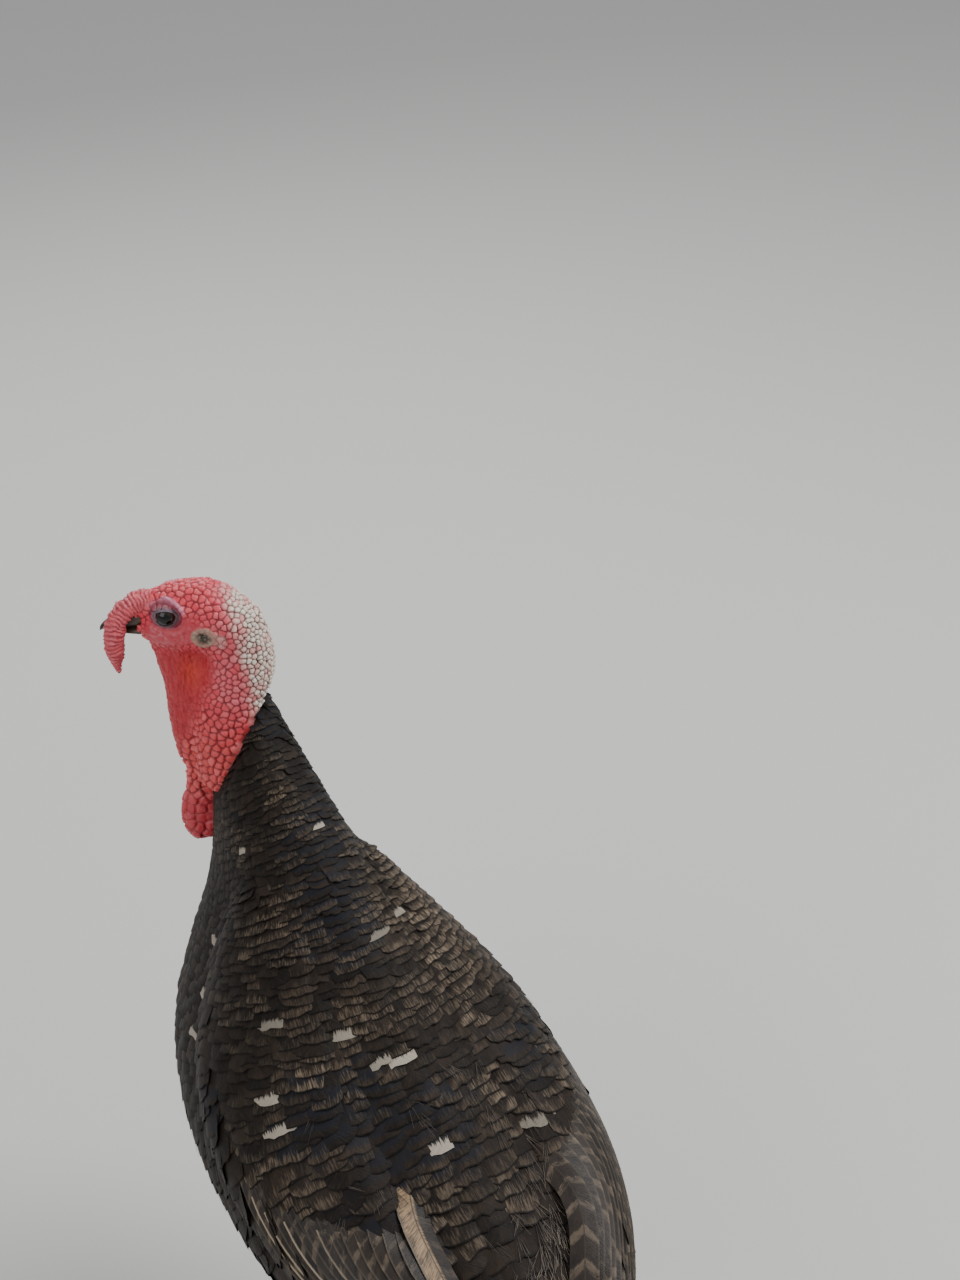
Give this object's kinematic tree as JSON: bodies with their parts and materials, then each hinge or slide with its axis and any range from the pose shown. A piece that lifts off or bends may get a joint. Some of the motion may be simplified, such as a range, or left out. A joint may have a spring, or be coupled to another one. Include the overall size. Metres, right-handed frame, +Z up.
{
  "type": "domestic turkey",
  "caption": "Life-size standing model of a dark domestic turkey tom with folded wings, a hanging tail, a bare wattled head turned to its left and a snood over its bill.",
  "frame": {"origin": "on the floor, under the middle of the model's box", "axes": "-Y is the way the body faces, +X is the bird's left, +Z is up"},
  "size_m": [0.294, 0.7408, 0.7525],
  "materials": {
    "plumage": "dark brown-black body feathers with paler brown fringes",
    "quills": "long flight and tail feathers, dark with paler bars and edges",
    "beard": "coarse black bristles",
    "bare_skin": "pink-red bare skin in rounded nodules, cream on the nape",
    "bill_horn": "dark horn, slightly glossy",
    "eye": "wet, very dark brown",
    "leg_scale": "pinkish-brown scutes",
    "claw_horn": "dark horn"
  },
  "bodies": {
    "root": {"beard": "beard", "bill_lower": "bill_horn", "bill_upper": "bill_horn", "caruncles": "bare_skin", "claw_hind_left": "claw_horn", "claw_hind_right": "claw_horn", "claw_inner_left": "claw_horn", "claw_inner_right": "claw_horn", "claw_middle_left": "claw_horn", "claw_middle_right": "claw_horn", "claw_outer_left": "claw_horn", "claw_outer_right": "claw_horn", "dewlap": "bare_skin", "ear_left": "bare_skin", "ear_right": "bare_skin", "eye_left": "eye", "eye_right": "eye", "head": "bare_skin", "neck_bare": "bare_skin", "neck_feathered": "plumage", "shank_left": "leg_scale", "shank_right": "leg_scale", "snood": "bare_skin", "spur_left": "claw_horn", "spur_right": "claw_horn", "tail": "quills", "thigh_left": "plumage", "thigh_right": "plumage", "toe_hind_left": "leg_scale", "toe_hind_right": "leg_scale", "toe_inner_left": "leg_scale", "toe_inner_right": "leg_scale", "toe_middle_left": "leg_scale", "toe_middle_right": "leg_scale", "toe_outer_left": "leg_scale", "toe_outer_right": "leg_scale", "trunk": "plumage", "wing_left": "plumage", "wing_quills_left": "quills", "wing_quills_right": "quills", "wing_right": "plumage"}
  },
  "joints": []
}
